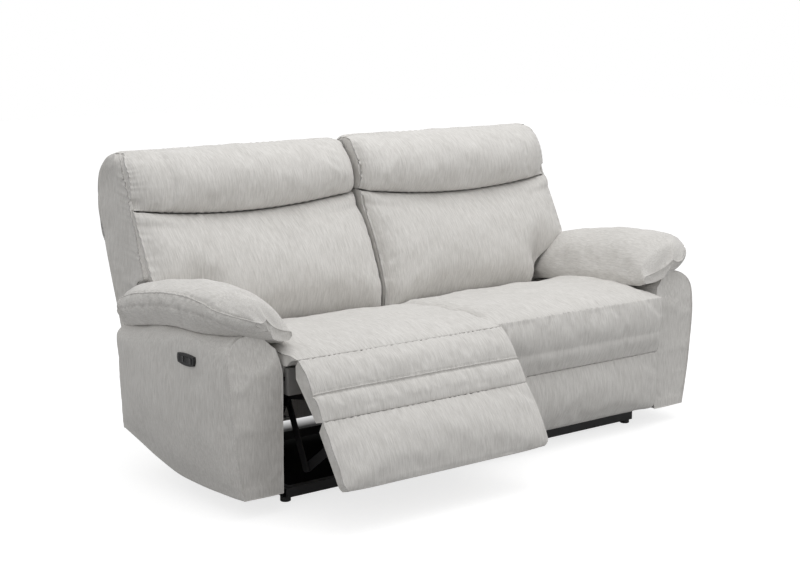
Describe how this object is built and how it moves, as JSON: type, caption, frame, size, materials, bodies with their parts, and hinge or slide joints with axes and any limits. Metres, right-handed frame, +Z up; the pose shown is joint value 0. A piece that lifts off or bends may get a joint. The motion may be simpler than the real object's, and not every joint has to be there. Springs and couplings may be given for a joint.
{
  "type": "reclining sofa",
  "caption": "Two-seat upholstered sofa with padded arms; on each half the seat rolls forward, a leg rest swings up and the back leans.",
  "frame": {"origin": "on the floor plane, under the middle of the bounding box at the stored pose", "axes": "+X to the viewer's right along the length, +Y to the rear, +Z up"},
  "size_m": [2.0112, 1.2537, 1.0236],
  "materials": {
    "upholstery": "woven chenille-like upholstery cloth, light warm grey",
    "upholstery_panels": "same cloth stretched over side and rear panels",
    "frame_wood": "unfinished plywood and softwood",
    "spring_steel": "bare spring wire",
    "roller_plastic": "natural nylon",
    "foot_plastic": "black moulded feet",
    "black_steel": "black powder coat",
    "motor_casing": "black moulded casing",
    "bright_steel": "bright zinc or chrome plate",
    "supply_casing": "black moulded casing",
    "control_housing": "satin black moulding",
    "rocker_caps": "satin black caps"
  },
  "bodies": {
    "base": {"feet": "foot_plastic", "base_rails": "black_steel", "base_side_plates": "black_steel", "motor_crossbars": "black_steel", "drive_motors": "motor_casing", "arm_bolts": "bright_steel", "rear_base_panel": "upholstery_panels", "power_inlet": "supply_casing", "power_supply": "supply_casing", "control_bezels": "control_housing", "left_arm_frame": "frame_wood", "left_arm_cover": "upholstery_panels", "left_arm_pad": "upholstery", "right_arm_frame": "frame_wood", "right_arm_cover": "upholstery_panels", "right_arm_pad": "upholstery"},
    "left_seat": {"left_seat_frame": "frame_wood", "left_seat_springs": "spring_steel", "left_seat_cushion": "upholstery", "left_seat_plates": "black_steel", "left_drive_rod": "bright_steel"},
    "left_front_rollers": {"left_front_rollers": "roller_plastic"},
    "left_rear_rollers": {"left_rear_rollers": "roller_plastic"},
    "left_calf": {"left_calf_pad": "upholstery", "left_calf_board": "frame_wood"},
    "left_foot": {"left_foot_pad": "upholstery", "left_foot_board": "frame_wood", "left_foot_brackets": "black_steel"},
    "left_long_links": {"left_long_links": "black_steel"},
    "left_short_links": {"left_short_links": "black_steel"},
    "left_back": {"left_back_frame": "frame_wood", "left_back_springs": "spring_steel", "left_back_brackets": "black_steel", "left_back_cover": "upholstery_panels", "left_back_cushion": "upholstery", "left_head_cushion": "upholstery"},
    "left_rocker_1": {"left_rocker_1": "rocker_caps"},
    "left_rocker_2": {"left_rocker_2": "rocker_caps"},
    "right_seat": {"right_seat_frame": "frame_wood", "right_seat_springs": "spring_steel", "right_seat_cushion": "upholstery", "right_seat_plates": "black_steel", "right_drive_rod": "bright_steel"},
    "right_front_rollers": {"right_front_rollers": "roller_plastic"},
    "right_rear_rollers": {"right_rear_rollers": "roller_plastic"},
    "right_calf": {"right_calf_pad": "upholstery", "right_calf_board": "frame_wood"},
    "right_foot": {"right_foot_pad": "upholstery", "right_foot_board": "frame_wood", "right_foot_brackets": "black_steel"},
    "right_long_links": {"right_long_links": "black_steel"},
    "right_short_links": {"right_short_links": "black_steel"},
    "right_back": {"right_back_frame": "frame_wood", "right_back_springs": "spring_steel", "right_back_brackets": "black_steel", "right_back_cover": "upholstery_panels", "right_back_cushion": "upholstery", "right_head_cushion": "upholstery"},
    "right_rocker_1": {"right_rocker_1": "rocker_caps"},
    "right_rocker_2": {"right_rocker_2": "rocker_caps"}
  },
  "joints": [
    {"name": "left_seat_roll", "type": "slide", "parent": "base", "child": "left_seat", "axis": [0, -0.9962, 0.0872], "range_m": [-0.046, 0.059]},
    {"name": "left_calf_swing", "type": "hinge", "parent": "left_seat", "child": "left_calf", "pos_m": [0, -0.39332, 0.47401], "axis": [-1, 0, 0], "range_deg": [-42.73, 54.73]},
    {"name": "left_foot_fold", "type": "hinge", "parent": "left_calf", "child": "left_foot", "pos_m": [0, -0.51502, 0.31701], "axis": [-1, 0, 0], "range_deg": [-11.19, 8.79]},
    {"name": "left_long_link_swing", "type": "hinge", "parent": "left_seat", "child": "left_long_links", "pos_m": [0, -0.20533, 0.33501], "axis": [-1, 0, 0], "range_deg": [-41.52, 53.17]},
    {"name": "left_short_link_swing", "type": "hinge", "parent": "left_long_links", "child": "left_short_links", "pos_m": [0, -0.30834, 0.11739], "axis": [-1, 0, 0], "range_deg": [-55.79, 43.56]},
    {"name": "left_front_roller_spin", "type": "hinge", "parent": "left_seat", "child": "left_front_rollers", "pos_m": [0, -0.17033, 0.27201], "axis": [1, 0, 0], "range_deg": [-188.56, 241.76]},
    {"name": "left_rear_roller_spin", "type": "hinge", "parent": "left_seat", "child": "left_rear_rollers", "pos_m": [0, 0.13467, 0.24532], "axis": [1, 0, 0], "range_deg": [-188.56, 241.76]},
    {"name": "left_back_lean", "type": "hinge", "parent": "base", "child": "left_back", "pos_m": [0, 0.3205, 0.262], "axis": [-1, 0, 0], "range_deg": [-3.5, 30.5]},
    {"name": "left_rocker_1_tilt", "type": "hinge", "parent": "base", "child": "left_rocker_1", "pos_m": [-0.9985, -0.1475, 0.4595], "axis": [0, 0, 1], "range_deg": [-6, 6], "stiffness_Nm_per_rad": 0.05},
    {"name": "left_rocker_2_tilt", "type": "hinge", "parent": "base", "child": "left_rocker_2", "pos_m": [-0.9985, -0.1085, 0.4595], "axis": [0, 0, 1], "range_deg": [-6, 6], "stiffness_Nm_per_rad": 0.05},
    {"name": "right_seat_roll", "type": "slide", "parent": "base", "child": "right_seat", "axis": [0, -0.9962, 0.0872], "range_m": [0, 0.105]},
    {"name": "right_calf_swing", "type": "hinge", "parent": "right_seat", "child": "right_calf", "pos_m": [0, -0.3475, 0.47], "axis": [-1, 0, 0], "range_deg": [0, 97.16]},
    {"name": "right_foot_fold", "type": "hinge", "parent": "right_calf", "child": "right_foot", "pos_m": [0, -0.3315, 0.272], "axis": [-1, 0, 0], "range_deg": [-19.67, 0]},
    {"name": "right_long_link_swing", "type": "hinge", "parent": "right_seat", "child": "right_long_links", "pos_m": [0, -0.1595, 0.331], "axis": [-1, 0, 0], "range_deg": [0, 94.4]},
    {"name": "right_short_link_swing", "type": "hinge", "parent": "right_long_links", "child": "right_short_links", "pos_m": [0, -0.0937, 0.0994], "axis": [-1, 0, 0], "range_deg": [-99.06, 0]},
    {"name": "right_front_roller_spin", "type": "hinge", "parent": "right_seat", "child": "right_front_rollers", "pos_m": [0, -0.1245, 0.268], "axis": [1, 0, 0], "range_deg": [0, 430.02]},
    {"name": "right_rear_roller_spin", "type": "hinge", "parent": "right_seat", "child": "right_rear_rollers", "pos_m": [0, 0.1805, 0.24132], "axis": [1, 0, 0], "range_deg": [0, 430.02]},
    {"name": "right_back_lean", "type": "hinge", "parent": "base", "child": "right_back", "pos_m": [0, 0.3205, 0.262], "axis": [-1, 0, 0], "range_deg": [0, 34]},
    {"name": "right_rocker_1_tilt", "type": "hinge", "parent": "base", "child": "right_rocker_1", "pos_m": [0.9985, -0.1475, 0.4595], "axis": [0, 0, 1], "range_deg": [-6, 6], "stiffness_Nm_per_rad": 0.05},
    {"name": "right_rocker_2_tilt", "type": "hinge", "parent": "base", "child": "right_rocker_2", "pos_m": [0.9985, -0.1085, 0.4595], "axis": [0, 0, 1], "range_deg": [-6, 6], "stiffness_Nm_per_rad": 0.05}
  ],
  "couplings": [
    {"joint": "left_calf_swing", "follows": "left_seat_roll", "rad_per_m": 16.1},
    {"joint": "left_foot_fold", "follows": "left_seat_roll", "rad_per_m": -3.22},
    {"joint": "left_long_link_swing", "follows": "left_seat_roll", "rad_per_m": 15.641},
    {"joint": "left_short_link_swing", "follows": "left_seat_roll", "rad_per_m": -16.416},
    {"joint": "left_front_roller_spin", "follows": "left_seat_roll", "rad_per_m": 71.429},
    {"joint": "left_rear_roller_spin", "follows": "left_seat_roll", "rad_per_m": 71.429},
    {"joint": "right_calf_swing", "follows": "right_seat_roll", "rad_per_m": 16.1},
    {"joint": "right_foot_fold", "follows": "right_seat_roll", "rad_per_m": -3.22},
    {"joint": "right_long_link_swing", "follows": "right_seat_roll", "rad_per_m": 15.641},
    {"joint": "right_short_link_swing", "follows": "right_seat_roll", "rad_per_m": -16.416},
    {"joint": "right_front_roller_spin", "follows": "right_seat_roll", "rad_per_m": 71.429},
    {"joint": "right_rear_roller_spin", "follows": "right_seat_roll", "rad_per_m": 71.429}
  ]
}
